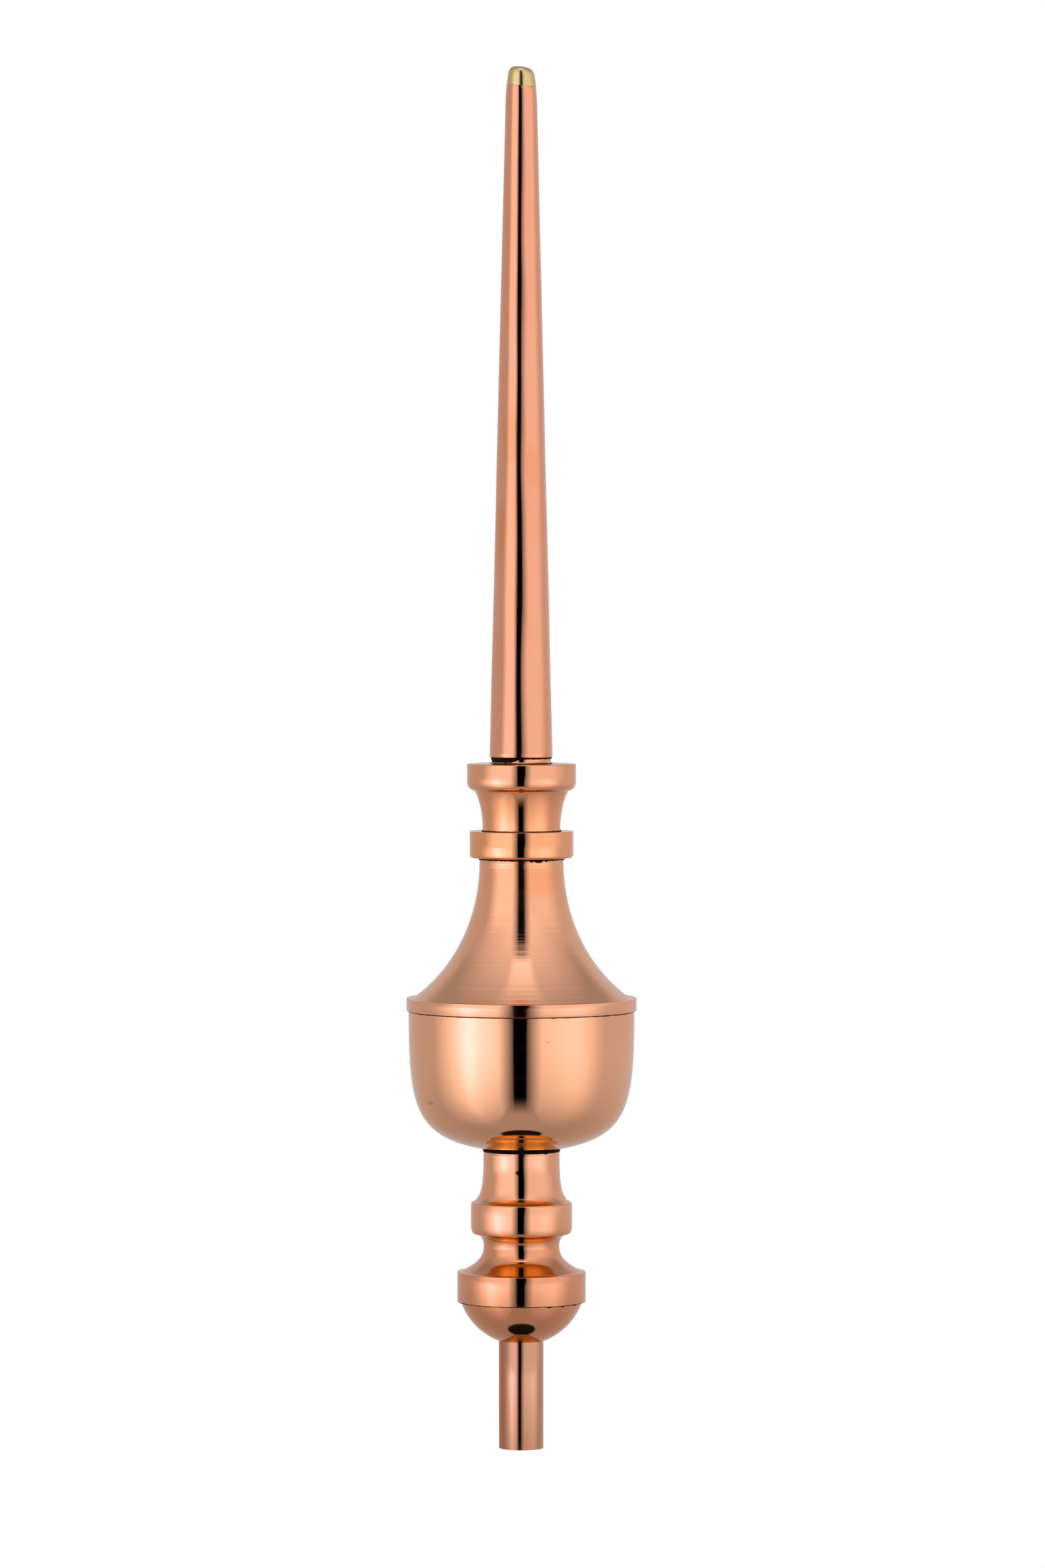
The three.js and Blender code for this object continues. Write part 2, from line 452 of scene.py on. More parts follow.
# Baluster: one piece of sheet spun over a former. From the top: a sleeve that flares out to a
# torus, a pinched waist, and a flare with a flat lip that turns down into the straight skirt. A
# speck of solder has stuck to the sleeve.
WAIST_R = 0.0188
SLEEVE_R = 0.0189
TORUS_R = 0.02515
TORUS_LIP = 0.0015
TORUS_TOP_CORNER = 0.0019
TORUS_FOOT_CORNER = 0.004
SKIRT_H = 0.0146
SKIRT_LIP = 0.002
LOWER_COVE_H = 0.013
UPPER_COVE_H = 0.0059
TORUS_H = 0.016
SKIRT_CORNER = 0.0004
SLEEVE_CURVE = ((0, 0.52), (0.97, 0.124))
LOWER_COVE_CURVE = ((0, 0.4), (0.82, 0.36))
BALUSTER_COLOUR = (0.96, 0.45, 0.27)
# The next colour is both the warm patches and a painted shade that darkens the baluster from the
# torus down.
BALUSTER_WARM_AND_SHADE = (0.86, 0.365, 0.2)
SPECK = (0.01, 0.006, 0.004)
SPECK_X = -0.0012
SPECK_DROP = 0.0095
SPECK_SIZE = (0.0024, 0.003, 0.0016)
QUARTER = 0.552
UPRIGHT_TO_LEVEL = ((0, QUARTER), (QUARTER, 0))
LEVEL_TO_UPRIGHT = ((QUARTER, 0), (0, QUARTER))


def sweep(start, start_pull, end_pull, end, steps):
    """Points along a smooth stretch. Each pull is an end's handle, in shares of width and rise."""
    width, height = end[0] - start[0], end[1] - start[1]
    first = (start[0] + start_pull[0] * width, start[1] + start_pull[1] * height)
    second = (end[0] - end_pull[0] * width, end[1] - end_pull[1] * height)
    points = []
    for i in range(steps + 1):
        t = i / steps
        shares = ((1 - t) ** 3, 3 * t * (1 - t) ** 2, 3 * t**2 * (1 - t), t**3)
        ends = (start, first, second, end)
        points.append(tuple(sum(s * p[k] for s, p in zip(shares, ends)) for k in (0, 1)))
    return points


def join(*stretches):
    """Stretches of an outline end to end, each meeting point kept once."""
    points = []
    for stretch in stretches:
        points += [p for p in stretch if not points or math.dist(p, points[-1]) > 1e-6]
    return points


skirt_foot = skirt_low.z
skirt_shoulder = skirt_foot + SKIRT_H
waist_z = skirt_shoulder + LOWER_COVE_H
torus_foot = waist_z + UPPER_COVE_H
sleeve_foot = torus_foot + TORUS_H
waist = (WAIST_R, waist_z)
torus_under = (TORUS_R - TORUS_LIP, torus_foot)
torus_crease = (TORUS_R - TORUS_LIP, sleeve_foot)
baluster_outline = join(
    sweep((SLEEVE_R, skirt_high.z), *SLEEVE_CURVE, torus_crease, 22),
    sweep(torus_crease, *LEVEL_TO_UPRIGHT, (TORUS_R, sleeve_foot - TORUS_TOP_CORNER), 6),
    sweep((TORUS_R, torus_foot + TORUS_FOOT_CORNER), *UPRIGHT_TO_LEVEL, torus_under, 10),
    sweep(torus_under, *LEVEL_TO_UPRIGHT, waist, 12),
    sweep(waist, *LOWER_COVE_CURVE, (skirt_r - SKIRT_LIP, skirt_shoulder), 20),
    [(skirt_r, skirt_shoulder), (skirt_r, skirt_foot)],
)
baluster = draw_outline("baluster_shell", baluster_outline)
round_corner(baluster, (skirt_r, skirt_shoulder), SKIRT_CORNER)
spin_outline(baluster)
give_wall(baluster, SHEET)
smooth(baluster)
# From the torus down, the waist and the skirt turn to the darker warm colour: painted shade, on top
# of the warm patches.
baluster_copper = metal(
    "baluster copper", BALUSTER_COLOUR, BALUSTER_WARM_AND_SHADE, warm_end=(sleeve_foot, waist_z)
)
stain_and_shade(baluster_copper, SPECK, (SPECK_X, -SLEEVE_R, skirt_high.z - SPECK_DROP), SPECK_SIZE)
baluster.data.materials.append(baluster_copper)
place(baluster, "baluster")


# Bowl: a deep bowl with a rounded bottom, spun from sheet. Its rim stands up inside the bell's
# brim, and its bottom is turned down into a seat inside the baluster's sleeve. It has two small
# marks, each with its place from the axis and the bowl's foot, its half size and its strength.
SEAT_GAP = 0.001
SEAT_DEPTH = 0.0085
BOWL_H = 0.0689
BOWL_CURVE = ((0, 0.7), (0.93, 0.09))
BOWL_COLOUR = (0.97, 0.48, 0.28)
BOWL_WARM = (0.96, 0.44, 0.24)
BOWL_MARK = (0.4, 0.16, 0.08)
BOWL_MARKS = [
    ((0.0128, -0.055, 0.0567), (0.0009, 0.01, 0.0009), 0.5),
    ((-0.0448, -0.028, 0.0248), (0.002, 0.02, 0.0014), 0.4),
]

_, bowl_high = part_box("bowl")
bowl_foot = skirt_high.z + SEAT_GAP
bowl_r = bowl_high.x
seat_r = SLEEVE_R - SHEET - JOINT_GAP
bowl_outline = join(
    [(bowl_r, bowl_high.z)],
    sweep((bowl_r, bowl_foot + BOWL_H), *BOWL_CURVE, (seat_r + SHEET, bowl_foot), 56),
    [(seat_r, bowl_foot - SHEET), (seat_r, bowl_foot - SEAT_GAP - SEAT_DEPTH)],
)
bowl = draw_outline("bowl_shell", bowl_outline)
spin_outline(bowl)
give_wall(bowl, SHEET)
smooth(bowl)
bowl_copper = metal("bowl copper", BOWL_COLOUR, BOWL_WARM, patches=0.4)
for (x, y, rise), half_size, strength in BOWL_MARKS:
    stain_and_shade(bowl_copper, BOWL_MARK, (x, y, bowl_foot + rise), half_size, strength)
bowl.data.materials.append(bowl_copper)
place(bowl, "bowl")


# Bell: a concave flare spun from sheet, with a short straight neck above, and below it a flat lip
# and a brim turned down over the bowl's rim. The tool's lines still show where it flares out, and
# a flame has left a redder patch on its neck.
BRIM_H = 0.0062
BRIM_LIP = 0.0035
BRIM_CORNER = 0.0003
BELL_NECK_H = 0.002
BELL_CURVE = ((0, 0.28), (0.8, 0.284))
BELL_COLOUR = (0.97, 0.475, 0.29)
BELL_WARM = (0.98, 0.45, 0.25)
BELL_STAIN = (0.98, 0.36, 0.16)
BELL_STAIN_SPOT = (0.009, -0.019)
BELL_STAIN_DROP = 0.0103
BELL_STAIN_SIZE = (0.012, 0.02, 0.011)
NECK_ROOM = 0.00075
COLLAR_NECK_R = 0.0193

bell_low, bell_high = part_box("bell")
brim_r = bell_high.x
bell_neck_r = COLLAR_NECK_R + NECK_ROOM + SHEET
brim_foot = bell_low.z
bell_outline = join(
    [(bell_neck_r, bell_high.z)],
    sweep(
        (bell_neck_r, bell_high.z - BELL_NECK_H),
        *BELL_CURVE,
        (brim_r - BRIM_LIP, brim_foot + BRIM_H),
        56,
    ),
    [(brim_r, brim_foot + BRIM_H), (brim_r, brim_foot)],
)
bell = draw_outline("bell_shell", bell_outline)
round_corner(bell, (brim_r, brim_foot + BRIM_H), BRIM_CORNER)
spin_outline(bell)
give_wall(bell, SHEET)
smooth(bell)
bell_copper = metal(
    "bell copper",
    BELL_COLOUR,
    BELL_WARM,
    polish=0.09,
    warm_end=(bell_low.z + 0.02, bell_high.z),
    lines=420,
    depth=0.12,
    wander=6,
)
flame_spot = (*BELL_STAIN_SPOT, bell_high.z - BELL_STAIN_DROP)
stain_and_shade(bell_copper, BELL_STAIN, flame_spot, BELL_STAIN_SIZE, 0.6)
bell.data.materials.append(bell_copper)
place(bell, "bell")


# Ring: a plain hollow band, sharp above and rounded below, that sits on the end of the bell's neck
# with the collar's neck through it.
RING_TOP_CORNER = 0.0003
RING_FOOT_CORNER = 0.0015
RING_COLOUR = (0.99, 0.44, 0.22)
RING_WARM = (0.94, 0.37, 0.16)

ring_low, ring_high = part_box("ring")
ring_r = ring_high.x
bore_r = COLLAR_NECK_R + JOINT_GAP
ring = draw_outline(
    "ring_band",
    [(bore_r, ring_high.z), (ring_r, ring_high.z), (ring_r, ring_low.z), (bore_r, ring_low.z)],
)
round_corner(ring, (ring_r, ring_high.z), RING_TOP_CORNER)
round_corner(ring, (ring_r, ring_low.z), RING_FOOT_CORNER, 8)
spin_outline(ring)
give_wall(ring, SHEET)
smooth(ring)
ring.data.materials.append(metal("ring copper", RING_COLOUR, RING_WARM))
place(ring, "ring")


# Collar: the moulding under the spire, spun in one piece. A tapered spigot stands up into the
# spire, a flat-topped band comes next, then a cove and the neck that goes down through the ring.
BAND_H = 0.0133
COVE_H = 0.018
COVE_R = 0.0234
NECK_H = 0.0021
BAND_FOOT_CORNER = 0.0042
BAND_TOP_CORNER = 0.0006
SPIGOT_FILLET = 0.0022
SPIGOT_CURVE = ((0, 0.7), (0.7, 0))
COVE_CURVE = ((0.563, 0.195), (0, 0.332))
COLLAR_COLOUR = (0.95, 0.43, 0.25)
COLLAR_WARM = (0.95, 0.40, 0.20)
SPIRE_TOP_R = 0.0076

collar_low, collar_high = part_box("collar")
spire_low, spire_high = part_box("spire")
spire_foot_r = spire_high.x
taper = (spire_foot_r - SPIRE_TOP_R) / (spire_high.z - spire_low.z)
spigot_r = spire_foot_r - SHEET - JOINT_GAP
band_r = collar_high.x
band_foot = ring_high.z + NECK_H + COVE_H
band_top = band_foot + BAND_H
cove_top = (COVE_R, band_foot)
collar_outline = join(
    [(spigot_r - taper * (collar_high.z - spire_low.z), collar_high.z)],
    sweep(
        (spigot_r, band_top + SPIGOT_FILLET),
        *SPIGOT_CURVE,
        (spigot_r + SPIGOT_FILLET, band_top),
        6,
    ),
    sweep(
        (band_r - BAND_TOP_CORNER, band_top),
        *LEVEL_TO_UPRIGHT,
        (band_r, band_top - BAND_TOP_CORNER),
        4,
    ),
    sweep((band_r, band_foot + BAND_FOOT_CORNER), *UPRIGHT_TO_LEVEL, cove_top, 12),
    sweep(cove_top, *COVE_CURVE, (COLLAR_NECK_R, ring_high.z + NECK_H), 24),
    [(COLLAR_NECK_R, collar_low.z)],
)
collar = draw_outline("collar_moulding", collar_outline)
spin_outline(collar)
give_wall(collar, SHEET)
smooth(collar)
cove_warm_end = (band_foot + 0.004, band_foot - 0.003)
collar.data.materials.append(
    metal("collar copper", COLLAR_COLOUR, COLLAR_WARM, warm_end=cove_warm_end)
)
place(collar, "collar")


# Spire: sheet rolled or drawn into a long straight taper, a little out of round, and polished
# lengthwise. It is slipped on the collar's spigot, where it stands a little above the band. Its end
# is closed in a little on the cap's plug and sawn a little out of square. Its warm stains have a
# place from the axis and the spire's foot, a half size and a strength each.
SPIRE_STEPS = 160
SPIRE_COLOUR = (0.94, 0.41, 0.25)
SPIRE_WARM = (0.92, 0.38, 0.21)
SPIRE_STAIN = (0.9, 0.34, 0.15)
SPIRE_STAINS = [
    ((-0.005, -0.0107, 0.1584), (0.007, 0.012, 0.018), 0.6),
    ((0.005, -0.011, 0.1444), (0.006, 0.012, 0.014), 0.5),
    ((-0.0112, -0.006, 0.1114), (0.005, 0.012, 0.022), 0.7),
]
SPIRE_TILT = 0.095
SPIRE_LEAD = 0.8
SPIRE_LOOSE = 0.35
TOP_SLANT = 0.115
TOP_SLANT_H = 0.01
TOP_CLOSED = 0.04


def top_share(vertex):
    """Goes from 0 below the spire's last stretch to 1 at its end and above."""
    return min(max((vertex.co.z - spire_high.z) / TOP_SLANT_H + 1, 0), 1)


def close_top(piece):
    """Draws a piece in toward the spire's end."""
    for vertex in piece.data.vertices:
        vertex.co.xy *= 1 - TOP_CLOSED * top_share(vertex) ** 2


def slant_top(piece):
    """Takes a piece's top down toward the right, as far as the spire's end is out of square."""
    for vertex in piece.data.vertices:
        vertex.co.z -= TOP_SLANT * (vertex.co.x + SPIRE_TOP_R) * top_share(vertex)


spire_outline = []
for i in range(SPIRE_STEPS + 1):
    share = i / SPIRE_STEPS
    radius = SPIRE_TOP_R + (spire_foot_r - SPIRE_TOP_R) * share
    spire_outline.append((radius, spire_high.z + (spire_low.z - spire_high.z) * share))
spire = draw_outline("spire_tube", spire_outline)
spin_outline(spire)
give_wall(spire, SHEET)
drawn_form(spire, SPIRE_TILT, SPIRE_LEAD, SPIRE_LOOSE)
close_top(spire)
slant_top(spire)
smooth(spire)
spire_copper = metal("spire copper", SPIRE_COLOUR, SPIRE_WARM, polish=0.07, kind=DRAWN_MARKS)
for (x, y, rise), half_size, strength in SPIRE_STAINS:
    stain_and_shade(spire_copper, SPIRE_STAIN, (x, y, spire_low.z + rise), half_size, strength)
spire.data.materials.append(spire_copper)
place(spire, "spire")


# Tip cap: a solid plug turned from yellow brass, with a flattened round top and a slight taper. Its
# lower part is a push fit in the spire's end.
CAP_R = 0.00735
CAP_SHOULDER_R = 0.00675
CAP_SIDE_H = 0.0042
CAP_CURVE = ((0.8, 0), (0.06, 0.7))
BRASS = (0.80, 0.58, 0.29)
BRASS_WARM = (0.68, 0.46, 0.2)

cap_low, cap_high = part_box("tip_cap")
cap_foot = spire_high.z + JOINT_GAP
plug_r = SPIRE_TOP_R - SHEET - JOINT_GAP
cap_outline = join(
    sweep((0, cap_high.z), *CAP_CURVE, (CAP_SHOULDER_R, cap_foot + CAP_SIDE_H), 20),
    [(CAP_R, cap_foot), (plug_r, cap_foot), (plug_r, cap_low.z), (0, cap_low.z)],
)
tip_cap = draw_outline("tip_cap_plug", cap_outline)
spin_outline(tip_cap)
slant_top(tip_cap)
smooth(tip_cap)
tip_cap.data.materials.append(metal("brass", BRASS, BRASS_WARM, polish=0.14))
place(tip_cap, "tip_cap")


# Solder, flux and painted shade: where the pieces are joined, a thin line of burnt flux and solder
# was left, black or brown, uneven and in places run down. The same beads also paint the dark shade
# of the gaps between the pieces.
FLUX_AND_SHADE_COLOUR = (0.004, 0.003, 0.002)
THIN_FLUX_AND_SHADE_COLOUR = (0.07, 0.018, 0.006)
BEAD_STEPS = 288
BEAD_LUMPS = 14.0
BEAD_GRAIN = 60.0
BEAD_SEED = 900.0


def crust_and_shade(name, colour):
    """A dull burnt material, for flux and for the painted shade in the joints."""
    material = bpy.data.materials.new(name)
    material.use_nodes = True
    shader = material.node_tree.nodes["Principled BSDF"]
    shader.inputs["Base Color"].default_value = (*colour, 1)
    shader.inputs["Roughness"].default_value = 0.6
    shader.inputs["Specular IOR Level"].default_value = 0.1
    return material


BURNT_FLUX_AND_SHADE = crust_and_shade("burnt flux and painted shade", FLUX_AND_SHADE_COLOUR)
BROWN_FLUX_AND_SHADE = crust_and_shade("thin brown flux and painted shade", THIN_FLUX_AND_SHADE_COLOUR)


def flux_and_shade_line(name, radius, height, size, uneven, runs=(), material=BURNT_FLUX_AND_SHADE):
    """A bead round a joint, partly burnt flux and solder and partly painted shade of the gap. Each
    run down it is its degrees from the front, half its width in degrees and how far it drops."""
    bpy.ops.object.select_all(action="DESELECT")
    bpy.ops.mesh.primitive_torus_add(
        major_segments=BEAD_STEPS,
        minor_segments=8,
        major_radius=radius,
        minor_radius=size / 2,
    )
    bead = bpy.context.object
    bead.name = name
    for vertex in bead.data.vertices:
        spot = vertex.co
        way = spot.xy.normalized()
        degrees = math.degrees(math.atan2(way.x, -way.y))
        lumps = noise.noise(Vector((*(way * BEAD_LUMPS), height * BEAD_SEED)))
        grain = noise.noise(Vector((*(way * BEAD_GRAIN), height * BEAD_SEED)))
        swell = 1 + uneven * (lumps + 0.6 * grain)
        out = (spot.xy.length - radius) * swell
        up = spot.z * swell
        for middle, half, drop in runs:
            reach = max(1 - abs(degrees - middle) / half, 0)
            up -= drop * min(reach * 2, 1) * (up < 0)
        spot.xy = way * (radius + out)
        spot.z = height + up
    smooth(bead)
    bead.data.materials.append(material)
    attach(bead, "root")


flux_and_shade_line(
    "flux_and_shade_at_spire",
    spigot_r,
    spire_low.z - 0.0003,
    size=0.0011,
    uneven=0.5,
    runs=[(-48, 46, 0.0022)],
)
flux_and_shade_line(
    "flux_and_shade_under_ring",
    bell_neck_r,
    ring_low.z - 0.0003,
    size=0.0013,
    uneven=0.4,
    runs=[(24, 7, 0.0008), (14, 3, 0.0005), (36, 3, 0.0005)],
)
# This brown line on the collar's neck, just over the ring, is a painted contact shadow.
flux_and_shade_line(
    "painted_shadow_over_ring", COLLAR_NECK_R, ring_high.z, size=0.0009, uneven=0.4, material=BROWN_FLUX_AND_SHADE
)
flux_and_shade_line(
    "flux_and_shade_over_band",
    spigot_r + SPIGOT_FILLET * 0.3,
    band_top,
    size=0.0009,
    uneven=0.4,
    material=BROWN_FLUX_AND_SHADE,
)
# This black bead in the joint under the bowl is flux, and it also paints the shade of the recessed
# gap above the sleeve.
flux_and_shade_line(
    "flux_and_shade_under_bowl",
    seat_r + 0.0006,
    bowl_foot - 0.0006,
    size=0.0019,
    uneven=0.03,
    runs=[(40, 4, 0.0003)],
)
flux_and_shade_line(
    "flux_and_shade_under_brim", bowl_r - 0.0001, brim_foot, size=0.0013, uneven=0.25, material=BROWN_FLUX_AND_SHADE
)
flux_and_shade_line(
    "flux_and_shade_under_skirt",
    skirt_r - 0.0005,
    skirt_foot,
    size=0.0009,
    uneven=0.4,
    runs=[(26, 3, 0.0004), (40, 2, 0.0004), (56, 3, 0.0004)],
    material=BROWN_FLUX_AND_SHADE,
)


# Camera: a long lens from the front, a little above the middle and looking slightly down, with the
# whole finial in the frame.
CAMERA_DISTANCE = 3.5
CAMERA_HEIGHT = 0.4465
FRAME_HEIGHT = 0.7773
FRAME_CENTRE = (0.0005, 0.3302)
SENSOR = 36.0

camera_data = bpy.data.cameras.new("camera")
camera = bpy.data.objects.new("camera", camera_data)
bpy.context.scene.collection.objects.link(camera)
bpy.context.scene.camera = camera
drop = CAMERA_HEIGHT - FRAME_CENTRE[1]
camera_data.sensor_width = SENSOR
camera_data.lens = SENSOR * math.hypot(CAMERA_DISTANCE, drop) / FRAME_HEIGHT
camera.location = (FRAME_CENTRE[0], -CAMERA_DISTANCE, CAMERA_HEIGHT)
camera.rotation_euler = (math.pi / 2 - math.atan2(drop, CAMERA_DISTANCE), 0, 0)
camera_data.clip_start = 0.05
camera_data.clip_end = 100
bpy.context.scene.view_settings.view_transform = "Standard"


# Light tent: pale cloth all round, dark in a gap where the camera looks in. Sheets of white and
# soft boxes low on both sides are brighter than the cloth above them, and a long lamp hangs
# overhead. A level of 1 is white paper, and angles are degrees from the camera, plus to the right.
WHITE = (1, 1, 1, 1)
BACK = 0.59
BACK_TILT = 0.05
LEFT_SHEET = 1.15
RIGHT_SHEET = 0.45
SOFT_BOX = 57.0
LEFT_BOX = 0.22
LEFT_BOX_WIDTH = 16.0
RIGHT_BOX = 0.2
RIGHT_BOX_WIDTH = 40.0
LEFT_UPPER = 0.58
RIGHT_UPPER = 0.34
FLOOR_LIGHT = 0.38
FLOOR_HOLD = 1.6
FLOOR_STRIP = 0.42
STRIP_MIDDLE = -0.03
LEAST_FALL = 0.1
ROOF_LIGHT = 0.64
ROOF_TILT = 0.5
ROOF_BACK = 0.38
LOW_GAP = -1.5
HIGH_GAP = -0.5
LOW_SLIT = 7.3
HIGH_SLIT = 8.8
GAP_CORE = 5.0
GAP_SHADE = 23.0
GAP_FLOOR = 0.41
GAP_ROOF = 0.25
LAMP = 0.21
LAMP_TILT = 0.5
COOL = (1.0, 1.0, 1.38, 1.0)
# Each pair is where a fade starts and where it ends.
SHEET_LEFT_END = (-108, -48)
SHEET_MIDDLE = (-65, 0)
SHEET_RIGHT_END = (100, 55)
UPPER_LEFT_END = (-95, -58)
UPPER_MIDDLE = (-40, 20)
UPPER_RIGHT_END = (115, 60)
LOWER_TO_UPPER = (-3.6, -0.2)
FLOOR_TO_CLOTH = (-75, -6)
CLOTH_TO_ROOF = (22, 38)
STRIP_SIDE = (0.42, 0.3)
STRIP_FAR_END = (-30, -42)
STRIP_NEAR_END = (0, 0.2)
LOW_TO_HIGH_GAP = (-4, 3)
SLIT_SIDE = (0.5, -0.5)
GAP_TO_FLOOR = (-26, -50)
GAP_TO_ROOF = (45, 51)
GAP_HIGH_END = (65, 52)
GAP_LOW_END = (-85, -70)
LAMP_FRONT_END = (0.52, 0.42)
LAMP_SIDE = (0.24, 0.12)
LAMP_HEIGHT = (0.4, 0.7)
WHITE_TO_COOL = (1.05, 1.85)


def blend(tree, share, low, high):
    """Goes from low to high as the share goes from 0 to 1."""
    gain = maths(tree, "MULTIPLY", share, maths(tree, "SUBTRACT", high, low))
    return maths(tree, "ADD", low, gain)


def distance_from(tree, value, centre):
    """How far a value is from a centre, either way."""
    return maths(tree, "ABSOLUTE", maths(tree, "SUBTRACT", value, centre))


def ramp(tree, value, start, end):
    """Goes in a straight line from 0 to 1 as the value goes from start to end."""
    return node(
        tree, "ShaderNodeMapRange", {"Value": value}, {"From Min": start, "From Max": end}
    ).outputs[0]


world = bpy.data.worlds.new("light tent")
bpy.context.scene.world = world
world.use_nodes = True
tent = world.node_tree
tent.nodes.clear()
look = node(tent, "ShaderNodeTexCoord").outputs["Generated"]
look_x, look_y, look_z = node(tent, "ShaderNodeSeparateXYZ", {"Vector": look}).outputs
ahead = maths(tent, "MULTIPLY", look_y, -1)
azimuth = maths(tent, "DEGREES", maths(tent, "ARCTAN2", look_x, ahead))
elevation = maths(tent, "DEGREES", maths(tent, "ARCSINE", look_z))

# The cloth all round, and low sheets of white on both sides, each with a soft box behind it.
back = maths(tent, "MULTIPLY_ADD", look_x, BACK_TILT, BACK)
sheets = maths(
    tent,
    "MULTIPLY",
    fade(tent, azimuth, *SHEET_LEFT_END),
    fade(tent, azimuth, *SHEET_MIDDLE, LEFT_SHEET, RIGHT_SHEET),
)
sheets = maths(tent, "MULTIPLY", sheets, fade(tent, azimuth, *SHEET_RIGHT_END))
from_left_box = distance_from(tent, azimuth, -SOFT_BOX)
from_right_box = distance_from(tent, azimuth, SOFT_BOX)
left_box = fade(tent, from_left_box, LEFT_BOX_WIDTH, 0, 0, LEFT_BOX)
right_box = fade(tent, from_right_box, RIGHT_BOX_WIDTH, 0, 0, RIGHT_BOX)
boxes = maths(tent, "ADD", left_box, right_box)
lower = maths(tent, "ADD", maths(tent, "ADD", back, sheets), boxes)
upper_sheets = maths(
    tent,
    "MULTIPLY",
    fade(tent, azimuth, *UPPER_LEFT_END),
    fade(tent, azimuth, *UPPER_MIDDLE, LEFT_UPPER, RIGHT_UPPER),
)
upper_sheets = maths(tent, "MULTIPLY", upper_sheets, fade(tent, azimuth, *UPPER_RIGHT_END))
upper = maths(tent, "ADD", back, upper_sheets)
light = blend(tent, fade(tent, elevation, *LOWER_TO_UPPER), lower, upper)

# The floor's dimmer light from below, and the cloth's from above, dimmer toward the back.
level = maths(tent, "POWER", ramp(tent, elevation, *FLOOR_TO_CLOTH), FLOOR_HOLD)
light = blend(tent, level, FLOOR_LIGHT, light)
roof = maths(tent, "MAXIMUM", maths(tent, "MULTIPLY_ADD", ahead, ROOF_TILT, ROOF_LIGHT), ROOF_BACK)
light = blend(tent, fade(tent, elevation, *CLOTH_TO_ROOF), light, roof)

# A dim strip of floor comes in from the front, with straight sides on the flat floor.
fall = maths(tent, "MAXIMUM", maths(tent, "MULTIPLY", look_z, -1), LEAST_FALL)
across = maths(tent, "DIVIDE", look_x, fall)
strip = fade(tent, distance_from(tent, across, STRIP_MIDDLE), *STRIP_SIDE)
strip = maths(tent, "MULTIPLY", strip, fade(tent, elevation, *STRIP_FAR_END))
strip = maths(tent, "MULTIPLY", strip, fade(tent, ahead, *STRIP_NEAR_END))
light = blend(tent, strip, light, FLOOR_STRIP)

# The opening for the camera: a black slit with a soft shade on both sides of it. The floor in front
# of it and the roof over it are dim.
middle = fade(tent, elevation, *LOW_TO_HIGH_GAP, LOW_GAP, HIGH_GAP)
from_gap = distance_from(tent, azimuth, middle)
slit = fade(tent, elevation, *LOW_TO_HIGH_GAP, LOW_SLIT, HIGH_SLIT)
past_slit = maths(tent, "SUBTRACT", from_gap, slit)
gap = ramp(tent, from_gap, GAP_SHADE, GAP_CORE)
gap = maths(tent, "MAXIMUM", gap, fade(tent, past_slit, *SLIT_SIDE))
gap_light = maths(
    tent,
    "ADD",
    fade(tent, elevation, *GAP_TO_FLOOR, 0, GAP_FLOOR),
    fade(tent, elevation, *GAP_TO_ROOF, 0, GAP_ROOF),
)
gap = maths(tent, "MULTIPLY", gap, fade(tent, elevation, *GAP_HIGH_END))
gap = maths(tent, "MULTIPLY", gap, fade(tent, elevation, *GAP_LOW_END))
light = blend(tent, gap, light, gap_light)

# A long lamp overhead, brightest at its front end and gone a little way behind the finial.
lamp = maths(tent, "MAXIMUM", maths(tent, "MULTIPLY_ADD", ahead, LAMP_TILT, LAMP), 0)
lamp = maths(tent, "MULTIPLY", lamp, fade(tent, ahead, *LAMP_FRONT_END))
lamp = maths(tent, "MULTIPLY", lamp, fade(tent, maths(tent, "ABSOLUTE", look_x), *LAMP_SIDE))
lamp = maths(tent, "MULTIPLY", lamp, fade(tent, look_z, *LAMP_HEIGHT))
light = maths(tent, "ADD", light, lamp)

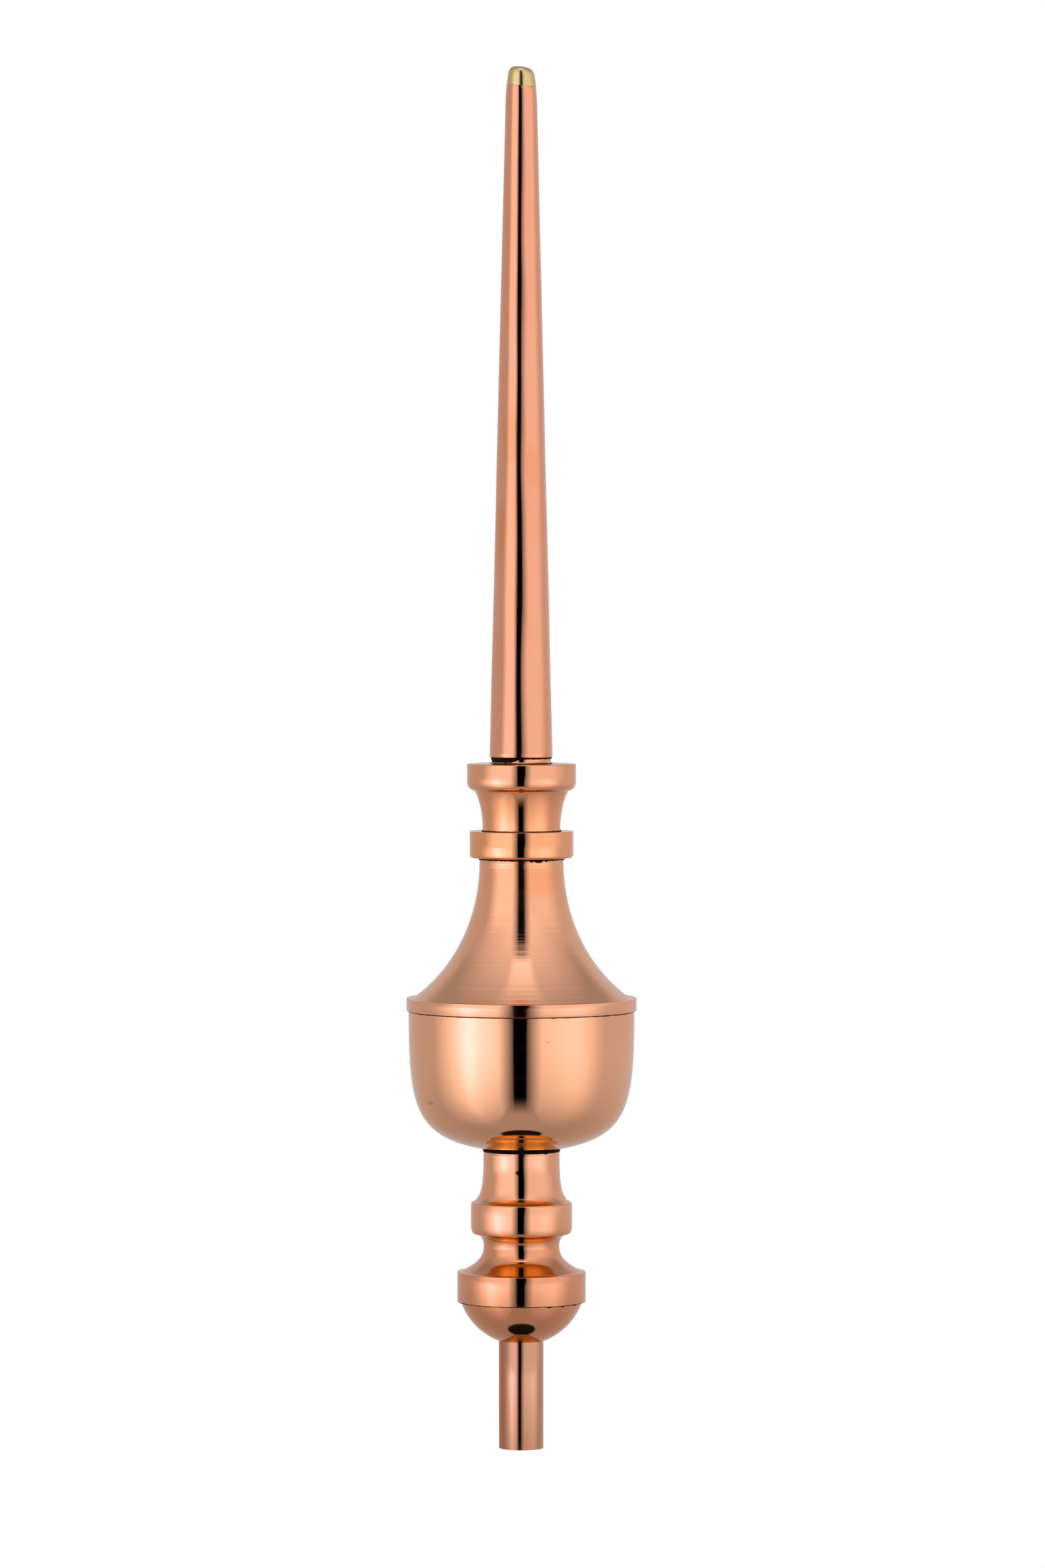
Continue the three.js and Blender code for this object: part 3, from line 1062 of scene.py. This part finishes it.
# The brightest light is the coolest. The camera itself sees plain white.
coolness = ramp(tent, light, *WHITE_TO_COOL)
tint = node(
    tent, "ShaderNodeMix", {0: coolness}, {6: WHITE, 7: COOL}, data_type="RGBA"
).outputs[2]
seen = node(tent, "ShaderNodeLightPath").outputs["Is Camera Ray"]
tent_light = node(tent, "ShaderNodeBackground", {"Strength": light, "Color": tint})
backdrop = node(tent, "ShaderNodeBackground", None, {"Color": WHITE, "Strength": 1.0})
both = node(
    tent, "ShaderNodeMixShader", {0: seen, 1: tent_light.outputs[0], 2: backdrop.outputs[0]}
)
node(tent, "ShaderNodeOutputWorld", {"Surface": both.outputs[0]})


# Floor: a pale plain floor, seen white. In reflections it gives way to the tent's own floor light,
# apart from the dark round base of the stand that held the finial.
FLOOR_SIZE = 4.0
FLOOR_DEPTH = 0.26
STAND_BASE_R = 0.098
STAND_BASE_LIGHT = 0.01

bpy.ops.object.select_all(action="DESELECT")
bpy.ops.mesh.primitive_plane_add(size=FLOOR_SIZE, location=(0, 0, -FLOOR_DEPTH))
floor = bpy.context.object
floor.name = "floor"
floor_material = bpy.data.materials.new("pale floor")
floor_material.use_nodes = True
floor.data.materials.append(floor_material)
ground = floor_material.node_tree
ground.nodes.clear()
spot = node(ground, "ShaderNodeTexCoord").outputs["Object"]
from_axis = node(ground, "ShaderNodeVectorMath", {0: spot}, operation="LENGTH").outputs["Value"]
base = fade(ground, from_axis, STAND_BASE_R * 1.1, STAND_BASE_R * 0.9)
paper = node(ground, "ShaderNodeEmission", None, {"Color": WHITE, "Strength": 1.0})
dark = node(ground, "ShaderNodeEmission", None, {"Color": WHITE, "Strength": STAND_BASE_LIGHT})
clear = node(ground, "ShaderNodeBsdfTransparent")
floor_seen = node(ground, "ShaderNodeLightPath").outputs["Is Camera Ray"]
underside = node(ground, "ShaderNodeNewGeometry").outputs["Backfacing"]
mirrored = node(ground, "ShaderNodeMixShader", {0: base, 1: clear.outputs[0], 2: dark.outputs[0]})
above = node(
    ground, "ShaderNodeMixShader", {0: floor_seen, 1: mirrored.outputs[0], 2: paper.outputs[0]}
)
surface = node(
    ground, "ShaderNodeMixShader", {0: underside, 1: above.outputs[0], 2: clear.outputs[0]}
)
node(ground, "ShaderNodeOutputMaterial", {"Surface": surface.outputs[0]})
